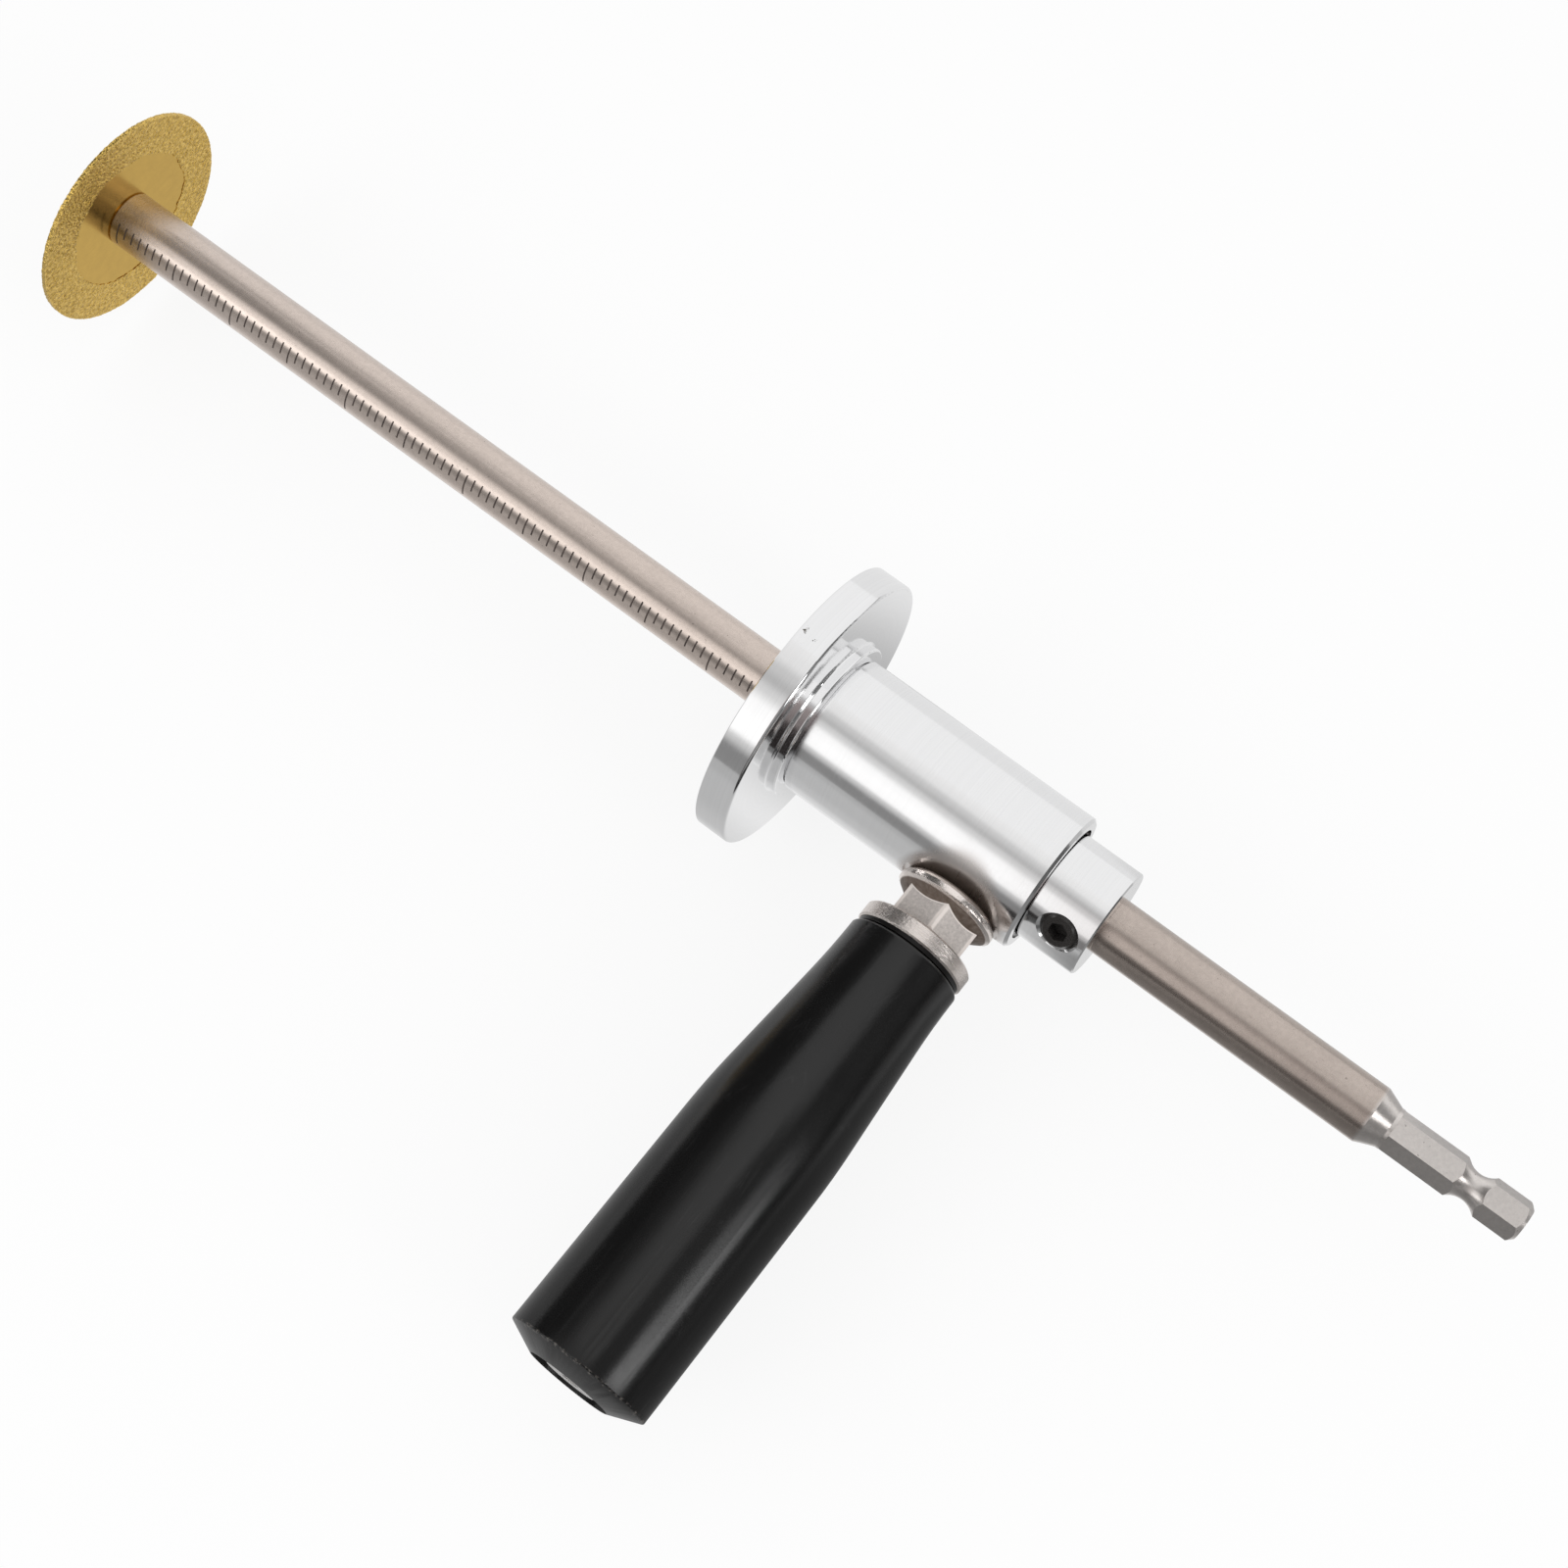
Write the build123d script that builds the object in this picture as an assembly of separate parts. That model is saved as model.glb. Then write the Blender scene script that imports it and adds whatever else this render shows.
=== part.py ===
from build123d import *
import math
import os

# Internal pipe cutter, in millimetres and degrees.
# X runs along the cutter shaft from the working face of the stop flange towards the hex drive end.
# The side handle points along -Y and +Z is up.
# Handle stations are distances from the shaft axis along the handle.

# Cutter shaft
shaft_d = 10.0
reach = 144.05
tail_length = 112.6
taper_length = 3.2
arbor_d = 8.0
arbor_screw_depth = 12.0
front_chamfer = 0.25

# Hex drive end
drive_flats = 6.35
drive_length = 24.6
drive_turn = 5.0
drive_land = 0.6
drive_end_chamfer = 1.0
groove_from_end = 9.6
groove_width = 5.4
groove_depth = 1.25

# Cutting disc
disc_d = 40.5
disc_core = 0.55
grit_layer = 0.1
grit_edge = 0.3
smooth_margin = 5.7
disc_washer_d = 16.0
disc_washer_thickness = 1.2
spring_washer_thickness = 1.2
spring_washer_width = 1.9
spring_washer_slit = 0.8

# M5 low head screws, one at the disc and one in the end of the handle
screw_d = 5.0
screw_head_d = 9.8
screw_head_height = 2.95
screw_head_crown = 0.5
screw_socket_flats = 3.0
screw_socket_depth = 1.6
screw_end_room = 2.5
thread_gap = 0.05

# Stop flange with its hub ring
stop_d = 50.4
stop_thickness = 5.8
stop_front_chamfer = 0.15
stop_rear_round = 0.6
hub_step = 1.9
hub_length = 1.8
hub_round = 0.35
hub_root = 0.4
lip_overlap = 1.1

# Ball bearings, one at each end of the sleeve
bush_wall = 1.0
race_wall = 1.5
race_gap = 1.5
bearing_width = 5.0
ball_sink = 0.44
ball_gap = 0.03
ball_count = 12
cage_width = 3.2
cage_gap = 0.3
pocket_gap = 0.1
shield_thickness = 0.3
shield_inset = 0.25
shield_gap = 0.15

# Sleeve between the hub and the lock collar
sleeve_wall = 1.9
sleeve_length = 44.3
sleeve_chamfer = 0.5
seat_step = 1.2
spigot_wall = 1.1
shoulder_gap = 0.1
mouth_depth = 1.6

# Lock collar and its bush, retaining ring and set screw
collar_reach = 10.9
collar_chamfer = 0.25
mouth_gap = 0.9
boss_length = 0.8
ring_thickness = 1.0
ring_width = 1.75
ring_groove_depth = 0.35
bush_lead = 0.5
bush_inset = 0.1
set_screw_d = 6.0
set_screw_margin = 2.0
set_screw_angle = 144.6
set_screw_inset = 0.3
set_screw_sink = 0.7
set_screw_flats = 3.0
set_screw_socket_depth = 2.2
set_screw_chamfer = 0.4
running_gap = 0.04
press_gap = 0.01

# Handle spindle, its flange nut and thrust washer
stud_d = 8.0
stud_margin = 0.4
stud_chamfer = 0.6
stud_inset = 0.1
nut_seat_depth = 0.4
nut_seat_gap = 0.4
nut_flats = 13.0
nut_height = 8.4
nut_flange_d = 17.8
nut_flange_edge = 0.9
nut_flange_dish = 0.9
nut_flange_slope = 1.7
nut_turn = 8.4
ferrule_d = 19.8
ferrule_thickness = 2.9
ferrule_chamfer = 0.3
thrust_washer_d = 19.0
thrust_washer_thickness = 0.7
spindle_end_screw_depth = 14.0

# Revolving grip
grip_gap = 0.2
grip_length = 83.1
grip_neck_d = 20.2
grip_neck_lip = 0.4
grip_neck_length = 5.8
grip_flare_length = 28.6
grip_flare_blend = 125.0
grip_body_d = 24.7
grip_end_d = 25.2
grip_cone_length = 2.3
grip_recess_d = 14.4
grip_recess_depth = 4.6
end_washer_gap = 0.6
end_washer_thickness = 1.0

# Radii worked out from the sizes above
shaft_r = shaft_d / 2
journal_r = shaft_r + bush_wall
inner_race_r = journal_r + race_wall
outer_race_r = inner_race_r + race_gap
bearing_r = outer_race_r + race_wall
pitch_r = (inner_race_r + outer_race_r) / 2
ball_r = race_gap / 2 + ball_sink
sleeve_r = bearing_r + sleeve_wall
sleeve_bore_r = bearing_r - seat_step
spigot_r = bearing_r + spigot_wall
hub_r = sleeve_r + hub_step
lip_r = bearing_r - lip_overlap
collar_r = bearing_r - mouth_gap
boss_r = inner_race_r - shield_gap
set_screw_r = set_screw_d / 2
stud_r = stud_d / 2
screw_r = screw_d / 2
grit_inner_r = disc_washer_d / 2 + smooth_margin
end_washer_r = grip_recess_d / 2 - end_washer_gap
drive_corner_r = drive_flats / 2 / math.cos(math.radians(30))

# Stations along the shaft
stop_rear = stop_thickness
hub_rear = stop_rear + hub_length
sleeve_shoulder = hub_rear + shoulder_gap
sleeve_end = sleeve_shoulder + sleeve_length
front_bearing = bush_inset + bush_lead + ring_thickness
front_seat = front_bearing + bearing_width
rear_bearing = sleeve_end - mouth_depth - bearing_width
boss_start = rear_bearing + bearing_width
handle_place = rear_bearing - stud_margin - stud_r
collar_start = boss_start + boss_length
collar_end = sleeve_end + collar_reach
set_screw_station = collar_end - set_screw_margin - set_screw_r
taper_end = tail_length + taper_length
drive_end = taper_end + drive_length
disc_front = -reach - disc_core

# Stations along the handle
nut_seat = sleeve_r - nut_seat_depth
nut_top = nut_seat + nut_height
ferrule_end = nut_top + ferrule_thickness
thrust_end = ferrule_end + thrust_washer_thickness
grip_start = thrust_end + grip_gap
grip_end = grip_start + grip_length
recess_floor = grip_end - grip_recess_depth
spindle_end = recess_floor + grip_gap
end_washer_top = spindle_end + end_washer_thickness


def turned(*corners):
    """Solid turned about X from the (station, radius) corners of its half section."""
    return revolve(make_face(Polyline(*corners, close=True)), Axis.X)


def bar(start, end, radius):
    """Round bar along X."""
    return turned((start, 0), (end, 0), (end, radius), (start, radius))


def ring(start, end, inner, outer):
    """Plain ring about X."""
    return turned((start, inner), (end, inner), (end, outer), (start, outer))


def rim_edges(part, station, radius):
    """Round edges of a turned part at one station and radius."""
    circles = part.edges().filter_by(GeomType.CIRCLE)
    return circles.filter_by(
        lambda rim: abs(rim.center().X - station) < 0.001 and abs(rim.radius - radius) < 0.001
    )


def hex_bar(start, end, flats, turn=0.0):
    """Hexagon bar along X whose first flat faces +Z when it isn't turned."""
    outline = RegularPolygon(flats / 2, 6, major_radius=False, rotation=turn)
    return extrude(Plane.YZ.offset(start) * outline, end - start)


def around(angle):
    """Turn about the shaft axis."""
    return Rot(angle, 0, 0)


def on_handle(part):
    """Stand a part that was turned about X on the handle axis."""
    return Pos(handle_place, 0, 0) * Rot(0, 0, -90) * part


def socket_screw(seat, length):
    """Low head screw with a hex socket: head beyond its seat, thread before it."""
    top = seat + screw_head_height
    rim = seat + screw_head_height - screw_head_crown
    head_r = screw_head_d / 2
    crown_r = head_r - screw_head_crown
    body = turned(
        (seat - length, 0),
        (top, 0),
        (top, crown_r),
        (rim, head_r),
        (seat, head_r),
        (seat, screw_r),
        (seat - length, screw_r),
    )
    return body - hex_bar(top - screw_socket_depth, top, screw_socket_flats)


def shaft():
    """Graduated shaft: arbor and tapped hole for the disc, taper, grooved hex drive end."""
    turned_stock = turned(
        (disc_front + press_gap, 0),
        (taper_end, 0),
        (taper_end, drive_corner_r),
        (tail_length, shaft_r),
        (front_chamfer - reach, shaft_r),
        (-reach, shaft_r - front_chamfer),
        (-reach, arbor_d / 2),
        (disc_front + press_gap, arbor_d / 2),
    )
    drive = hex_bar(taper_end, drive_end, drive_flats, drive_turn)
    land = bar(taper_end, taper_end + drive_land, drive_corner_r)
    chamfered = turned(
        (taper_end, 0),
        (drive_end, 0),
        (drive_end, drive_corner_r - drive_end_chamfer),
        (drive_end - drive_end_chamfer, drive_corner_r),
        (taper_end, drive_corner_r),
    )
    groove_at = drive_end - groove_from_end
    low = drive_corner_r - groove_depth
    groove = revolve(
        make_face(
            ThreePointArc(
                (groove_at - groove_width / 2, drive_corner_r),
                (groove_at, low),
                (groove_at + groove_width / 2, drive_corner_r),
            )
            + Polyline(
                (groove_at + groove_width / 2, drive_corner_r),
                (groove_at + groove_width / 2, drive_flats),
                (groove_at - groove_width / 2, drive_flats),
                (groove_at - groove_width / 2, drive_corner_r),
            )
        ),
        Axis.X,
    )
    tapped = bar(disc_front, arbor_screw_depth - reach, screw_r + thread_gap)
    return turned_stock + land + (drive & chamfered) - groove - tapped


def disc_core_plate():
    """Thin steel core, relieved where the abrasive layer wraps it."""
    edge = disc_d / 2 - grit_edge
    return ring(disc_front, -reach, arbor_d / 2 + press_gap, edge)


def abrasive_rim():
    """Brazed grit layer that wraps both faces and the edge of the core."""
    edge = disc_d / 2 - grit_edge
    layer = ring(disc_front - grit_layer, -reach + grit_layer, grit_inner_r, disc_d / 2)
    return layer - bar(disc_front, -reach, edge)


def disc_washer():
    """Flat washer that clamps the disc against the shaft's shoulder."""
    return ring(disc_front - disc_washer_thickness, disc_front, screw_r + thread_gap, disc_washer_d / 2)


def spring_washer():
    """Split spring washer under the disc screw's head."""
    outer = disc_front - disc_washer_thickness
    hole = screw_r + thread_gap
    washer = ring(outer - spring_washer_thickness, outer, hole, hole + spring_washer_width)
    slit = Pos(outer, 0, hole + spring_washer_width / 2) * Box(
        4 * spring_washer_thickness, spring_washer_slit, 2 * spring_washer_width
    )
    return washer - slit


def disc_screw():
    """Low head screw in the arbor's tapped hole, its head towards -X."""
    seat = reach + disc_core + disc_washer_thickness + spring_washer_thickness
    length = seat - reach + arbor_screw_depth - screw_end_room
    return Rot(0, 0, 180) * socket_screw(seat, length)


def stop_flange():
    """Turned stop flange, its hub ring and the lip that holds the front bearing."""
    edge = stop_d / 2
    blank = turned(
        (0, lip_r),
        (0, edge - stop_front_chamfer),
        (stop_front_chamfer, edge),
        (stop_rear, edge),
        (stop_rear, hub_r),
        (hub_rear, hub_r),
        (hub_rear, spigot_r + press_gap),
        (front_bearing, spigot_r + press_gap),
        (front_bearing, lip_r),
    )
    blank = fillet(rim_edges(blank, stop_rear, edge), stop_rear_round)
    blank = fillet(rim_edges(blank, stop_rear, hub_r), hub_root)
    return fillet(rim_edges(blank, hub_rear, hub_r), hub_round)


def sleeve():
    """Housing tube: spigot in the hub, a bearing seat at each end, seat and tapped hole for the handle."""
    tube = turned(
        (front_bearing, bearing_r + press_gap),
        (front_bearing, spigot_r),
        (sleeve_shoulder, spigot_r),
        (sleeve_shoulder, sleeve_r - sleeve_chamfer),
        (sleeve_shoulder + sleeve_chamfer, sleeve_r),
        (sleeve_end - sleeve_chamfer, sleeve_r),
        (sleeve_end, sleeve_r - sleeve_chamfer),
        (sleeve_end, bearing_r + press_gap),
        (rear_bearing, bearing_r + press_gap),
        (rear_bearing, sleeve_bore_r),
        (front_seat, sleeve_bore_r),
        (front_seat, bearing_r + press_gap),
    )
    seat = on_handle(bar(nut_seat, sleeve_r + nut_seat_depth, nut_flange_d / 2 + nut_seat_gap))
    tapped = on_handle(bar(sleeve_bore_r / 2, sleeve_r, stud_r + thread_gap))
    return tube - seat - tapped


def race_groove(station):
    """Ball track of a bearing whose front face is at the station."""
    middle = station + bearing_width / 2
    track = Pos(middle, pitch_r) * Circle(ball_r + ball_gap)
    return revolve(track, Axis.X)


def inner_race(station):
    """Inner race of one bearing."""
    blank = ring(station, station + bearing_width, journal_r + press_gap, inner_race_r)
    return blank - race_groove(station)


def outer_race(station):
    """Outer race of one bearing."""
    blank = ring(station, station + bearing_width, outer_race_r, bearing_r)
    return blank - race_groove(station)


def shield(start):
    """Metal shield that closes the open side of one bearing."""
    return ring(start, start + shield_thickness, inner_race_r + shield_gap, outer_race_r - press_gap)


def ball_places(station):
    """Ball centres of one bearing."""
    middle = station + bearing_width / 2
    return [around(360 * i / ball_count) * Pos(middle, 0, pitch_r) for i in range(ball_count)]


def balls(station):
    """Full set of balls of one bearing, as separate solids."""
    return Compound(children=[place * Sphere(ball_r) for place in ball_places(station)])


def cage(station):
    """Ball cage of one bearing, with a round pocket for each ball."""
    middle = station + bearing_width / 2
    band = ring(
        middle - cage_width / 2, middle + cage_width / 2, inner_race_r + cage_gap, outer_race_r - cage_gap
    )
    for place in ball_places(station):
        band -= place * Sphere(ball_r + pocket_gap)
    return band


def lock_collar():
    """Clamp collar and the bush that carries both inner races, tapped for the set screw."""
    ring_seat_r = journal_r - ring_groove_depth
    body = turned(
        (bush_inset, shaft_r + running_gap),
        (bush_inset, journal_r),
        (front_bearing - ring_thickness, journal_r),
        (front_bearing - ring_thickness, ring_seat_r),
        (front_bearing, ring_seat_r),
        (front_bearing, journal_r),
        (boss_start, journal_r),
        (boss_start, boss_r),
        (collar_start, boss_r),
        (collar_start, collar_r),
        (collar_end - collar_chamfer, collar_r),
        (collar_end, collar_r - collar_chamfer),
        (collar_end, shaft_r + running_gap + collar_chamfer),
        (collar_end - collar_chamfer, shaft_r + running_gap),
    )
    hole_r = set_screw_r + running_gap
    hole = bar(shaft_r / 2, collar_r + set_screw_d, hole_r)
    sink = turned(
        (collar_r - set_screw_sink, 0),
        (collar_r - set_screw_sink, hole_r),
        (collar_r + set_screw_sink, hole_r + 2 * set_screw_sink),
        (collar_r + set_screw_sink, 0),
    )
    return body - at_set_screw(hole + sink)


def at_set_screw(part):
    """Stand a part that was turned about X on the set screw's axis, its stations from the shaft axis."""
    place = Pos(set_screw_station, 0, 0) * around(set_screw_angle - 90)
    return place * Rot(0, -90, 0) * part


def set_screw():
    """Socket set screw that bears on the shaft."""
    start = shaft_r + running_gap
    end = collar_r - set_screw_inset
    body = turned(
        (start, 0),
        (end, 0),
        (end, set_screw_r - set_screw_chamfer),
        (end - set_screw_chamfer, set_screw_r),
        (start + set_screw_chamfer, set_screw_r),
        (start, set_screw_r - set_screw_chamfer),
    )
    return at_set_screw(body - hex_bar(end - set_screw_socket_depth, end, set_screw_flats))


def retaining_ring():
    """External retaining ring on the bush, in front of the front bearing."""
    inner = journal_r - ring_groove_depth + press_gap
    clip = ring(front_bearing - ring_thickness, front_bearing, inner, inner + ring_width)
    opening = Pos(front_bearing - ring_thickness / 2, 0, inner + ring_width / 2) * Box(
        2 * ring_thickness, ring_width, 2 * ring_width
    )
    return clip - opening


def handle_spindle():
    """Steel spindle: threaded stud, ferrule and the plain shank that the grip turns on."""
    stud_start = sleeve_bore_r + stud_inset
    body = turned(
        (stud_start, 0),
        (stud_start, stud_r - stud_chamfer),
        (stud_start + stud_chamfer, stud_r),
        (nut_top, stud_r),
        (nut_top, ferrule_d / 2 - ferrule_chamfer),
        (nut_top + ferrule_chamfer, ferrule_d / 2),
        (ferrule_end - ferrule_chamfer, ferrule_d / 2),
        (ferrule_end, ferrule_d / 2 - ferrule_chamfer),
        (ferrule_end, stud_r),
        (spindle_end, stud_r),
        (spindle_end, 0),
    )
    tapped = bar(spindle_end - spindle_end_screw_depth, spindle_end, screw_r + thread_gap)
    return on_handle(body - tapped)


def flange_nut():
    """Flange nut that locks the spindle against the sleeve."""
    edge = nut_flange_d / 2
    hex_r = nut_flats / 2
    corner_r = hex_r / math.cos(math.radians(30))
    hex_chamfer = corner_r - hex_r
    slope_start = nut_seat + nut_flange_dish + nut_flange_edge
    flange = turned(
        (nut_seat, 0),
        (nut_seat, edge - nut_flange_dish),
        (nut_seat + nut_flange_dish, edge),
        (slope_start, edge),
        (slope_start + nut_flange_slope, hex_r),
        (slope_start + nut_flange_slope, 0),
    )
    chamfered = turned(
        (nut_seat, 0),
        (nut_seat, corner_r),
        (nut_top - hex_chamfer, corner_r),
        (nut_top, hex_r),
        (nut_top, 0),
    )
    hexagon = hex_bar(nut_seat + nut_flange_dish, nut_top, nut_flats, 30 - nut_turn)
    nut = flange + (hexagon & chamfered) - bar(0, nut_top, stud_r + thread_gap)
    return on_handle(nut)


def thrust_washer():
    """Thin washer between the ferrule and the grip."""
    return on_handle(ring(ferrule_end, thrust_end, stud_r + thread_gap, thrust_washer_d / 2))


def grip():
    """Revolving moulded grip: neck, blended flare, long body, end cone and screw recess."""
    bore = stud_r + running_gap
    neck_r = grip_neck_d / 2
    body_r = grip_body_d / 2
    flare_start = grip_start + grip_neck_length
    flare_end = flare_start + grip_flare_length
    corner = grip_end - grip_cone_length
    side = FilletPolyline(
        (grip_start + grip_neck_lip, neck_r),
        (flare_start, neck_r),
        (flare_end, body_r),
        (corner, grip_end_d / 2),
        radius=grip_flare_blend,
    )
    ends = Polyline(
        (corner, grip_end_d / 2),
        (grip_end, grip_recess_d / 2),
        (recess_floor, grip_recess_d / 2),
        (recess_floor, bore),
        (grip_start, bore),
        (grip_start, neck_r - grip_neck_lip),
        (grip_start + grip_neck_lip, neck_r),
    )
    return on_handle(revolve(make_face(side + ends), Axis.X))


def end_washer():
    """Washer that keeps the grip on its spindle."""
    return on_handle(ring(spindle_end, end_washer_top, screw_r + thread_gap, end_washer_r))


def end_screw():
    """Low head screw in the end of the spindle."""
    length = end_washer_thickness + spindle_end_screw_depth - screw_end_room
    return on_handle(socket_screw(end_washer_top, length))


nodes = {
    "stop_flange": stop_flange(),
    "sleeve": sleeve(),
    "front_outer_race": outer_race(front_bearing),
    "rear_outer_race": outer_race(rear_bearing),
    "front_shield": shield(front_bearing + shield_inset),
    "rear_shield": shield(rear_bearing + bearing_width - shield_inset - shield_thickness),
    "handle_spindle": handle_spindle(),
    "flange_nut": flange_nut(),
    "thrust_washer": thrust_washer(),
    "end_washer": end_washer(),
    "end_screw": end_screw(),
    "lock_collar": lock_collar(),
    "front_inner_race": inner_race(front_bearing),
    "rear_inner_race": inner_race(rear_bearing),
    "retaining_ring": retaining_ring(),
    "front_cage": cage(front_bearing),
    "front_balls": balls(front_bearing),
    "rear_cage": cage(rear_bearing),
    "rear_balls": balls(rear_bearing),
    "shaft": shaft(),
    "disc_core": disc_core_plate(),
    "abrasive_rim": abrasive_rim(),
    "disc_washer": disc_washer(),
    "spring_washer": spring_washer(),
    "disc_screw": disc_screw(),
    "set_screw": set_screw(),
    "grip": grip(),
}

os.makedirs("parts", exist_ok=True)
for name, part in nodes.items():
    export_step(part, f"parts/{name}.step")
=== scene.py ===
"""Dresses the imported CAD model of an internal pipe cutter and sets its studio.

Sizes are in metres, in the frame of the CAD model: X along the cutter shaft towards the hex drive end,
the side handle along -Y, Z up. Patterns on the pieces and the floor are laid out in millimetres.
"""

import math

import bmesh
import bpy
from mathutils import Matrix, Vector, noise


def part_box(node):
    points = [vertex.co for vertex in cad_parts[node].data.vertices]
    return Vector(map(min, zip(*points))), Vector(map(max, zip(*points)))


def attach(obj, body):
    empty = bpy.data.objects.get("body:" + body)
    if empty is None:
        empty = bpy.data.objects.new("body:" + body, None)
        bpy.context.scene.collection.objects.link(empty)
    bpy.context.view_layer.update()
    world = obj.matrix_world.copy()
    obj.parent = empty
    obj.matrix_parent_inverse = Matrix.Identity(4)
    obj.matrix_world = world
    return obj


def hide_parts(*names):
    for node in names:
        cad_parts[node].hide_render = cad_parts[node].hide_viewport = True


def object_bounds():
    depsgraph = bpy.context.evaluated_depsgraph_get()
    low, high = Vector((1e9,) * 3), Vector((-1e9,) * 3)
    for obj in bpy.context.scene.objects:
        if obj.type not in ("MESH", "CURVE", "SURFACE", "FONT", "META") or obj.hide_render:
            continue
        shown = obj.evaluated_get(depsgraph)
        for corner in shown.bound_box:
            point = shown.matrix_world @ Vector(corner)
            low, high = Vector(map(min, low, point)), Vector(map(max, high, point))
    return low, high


bl_info = {
    "name": "Internal Pipe Cutter",
    "version": (1, 0, 0),
    "blender": (4, 5, 0),
    "location": "View3D > Sidebar > Pipe Cutter",
    "description": "Finishes, graduations and studio of an internal pipe cutter",
    "category": "Object",
}

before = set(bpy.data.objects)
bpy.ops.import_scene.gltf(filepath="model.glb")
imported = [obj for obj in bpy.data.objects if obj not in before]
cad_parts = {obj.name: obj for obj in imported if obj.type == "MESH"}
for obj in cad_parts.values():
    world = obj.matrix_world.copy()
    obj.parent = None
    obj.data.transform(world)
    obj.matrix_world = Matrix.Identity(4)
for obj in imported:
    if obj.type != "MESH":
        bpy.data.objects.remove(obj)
CAD_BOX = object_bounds()

MM = 0.001
SHAFT_RADIUS = 5.0 * MM
HANDLE_PLACE = 41.0 * MM
DISC_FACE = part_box("disc_core")[1][0]
DISC_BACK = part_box("disc_core")[0][0]
COAT_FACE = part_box("abrasive_rim")[1][0]
COAT_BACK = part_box("abrasive_rim")[0][0]
DISC_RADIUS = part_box("abrasive_rim")[1][2]
FLOOR_HEIGHT = CAD_BOX[0][2]

# Stations on the shaft, in millimetres, between which it turns darker behind the lock collar, and paler and
# duller at the drive end
TAIL_CHANGE = (30.0, 60.0)
DRIVE_CHANGE = (111.9, 112.9)

# Nicks in the rim of the flange: station in millimetres, degrees from +Y towards +Z, size in millimetres
FLANGE_RADIUS = 25.2
RIM_NICKS = ((1.0, 86.2, 0.42), (3.2, 87.0, 0.3), (0.9, 84.6, 0.22))

# Painted shade and reflection of the nut on the sleeve round its seat, in millimetres: radii where it starts
# and is full, and the same along Y
SEAT_RING = (11.0, 9.2)
SEAT_SIDE = (-3.0, -8.0)

# Edge of the grip's end, in millimetres out from the shaft
GRIP_EDGE = -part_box("grip")[0][1] / MM - 2.3

# Flange of the nut, in millimetres: radius, start of its slope, rise inwards, radius of the hexagon's corners
NUT_RADIUS = 8.9
NUT_SLOPE_START = -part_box("flange_nut")[1][1] / MM + 1.8
NUT_SLOPE = 1.7 / 2.4
NUT_CORNER = 7.5

# What the metal sees overhead: levels by degrees about the shaft from +Y towards +Z, in three zones along X
COVE_RADIUS = 1.2
COVE_ENDS = (-2.5, 1.5)
COVE_FRONT = (
    (75, 0.3), (84, 0.15), (94, 0.15), (104, 0.25), (112, 0.6), (121, 1.1), (134, 1.2), (145, 2.0),
    (155, 2.0), (160, 0.65), (168, 0.4), (180, 0.5),
)
COVE_MIDDLE = (
    (75, 0.9), (88, 0.85), (98, 0.62), (107, 0.5), (115, 0.7), (127, 1.08), (138, 1.12), (150, 1.1),
    (157, 0.6), (166, 0.24), (180, 0.25),
)
COVE_FAR = (
    (75, 1.0), (96, 1.0), (104, 0.5), (112, 0.3), (132, 0.2), (142, 0.05), (152, 0.02), (180, 0.02),
)

# Shares of the front and the far zone by metres along X, and the one level that both end in
FRONT_SHARE = ((-2.5, 1.0), (-0.8, 1.0), (-0.67, 0.78), (-0.45, 0.4), (-0.24, 0.0), (1.5, 0.0))
FAR_SHARE = (
    (-2.5, 0.0), (-0.095, 0.0), (-0.05, 0.2), (0.05, 0.25), (0.1, 0.45), (0.13, 0.8), (0.26, 1.0), (1.5, 1.0),
)
END_CHANGE = (0.32, 0.45)
END_LEVEL = 0.27

# Colour of the light from overhead, and of the far zone past these degrees
COVE_TINT = (1, 0.995, 0.99, 1)
FAR_TINT = (1, 0.86, 0.84, 1)
FAR_TINT_CHANGE = (100.0, 112.0)

# What the metal sees below: levels by millimetres across the floor, before and beyond the handle
FLOOR_FRONT = (
    (-300, 0.45), (-150, 0.5), (-60, 0.5), (-34, 0.55), (-20, 0.72), (-12, 0.86), (12, 0.82), (60, 0.82),
)
FLOOR_TAIL = (
    (-300, 0.19), (-150, 0.2), (-60, 0.22), (-34, 0.26), (-15, 0.3), (-8, 0.7), (12, 0.7), (60, 0.7),
)
FLOOR_CHANGE = (46, 62)

# Darker places of the floor in the metal, in millimetres: a painted shadow round a point by the hub, and
# darker beside the drive end
HUB_PLACE = (10, 12, 0)
HUB_FADE = (26.0, 8.0)
HUB_SHADOW_DEPTH = 0.4
DRIVE_FADE_ALONG = (114, 122)
DRIVE_FADE_ACROSS = (0, 12)
DRIVE_DIMMING = 0.3

# Share of plain white in the floor that the camera sees
FLOOR_CLEAR = 0.84
WHITE = (1, 1, 1, 1)


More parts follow.
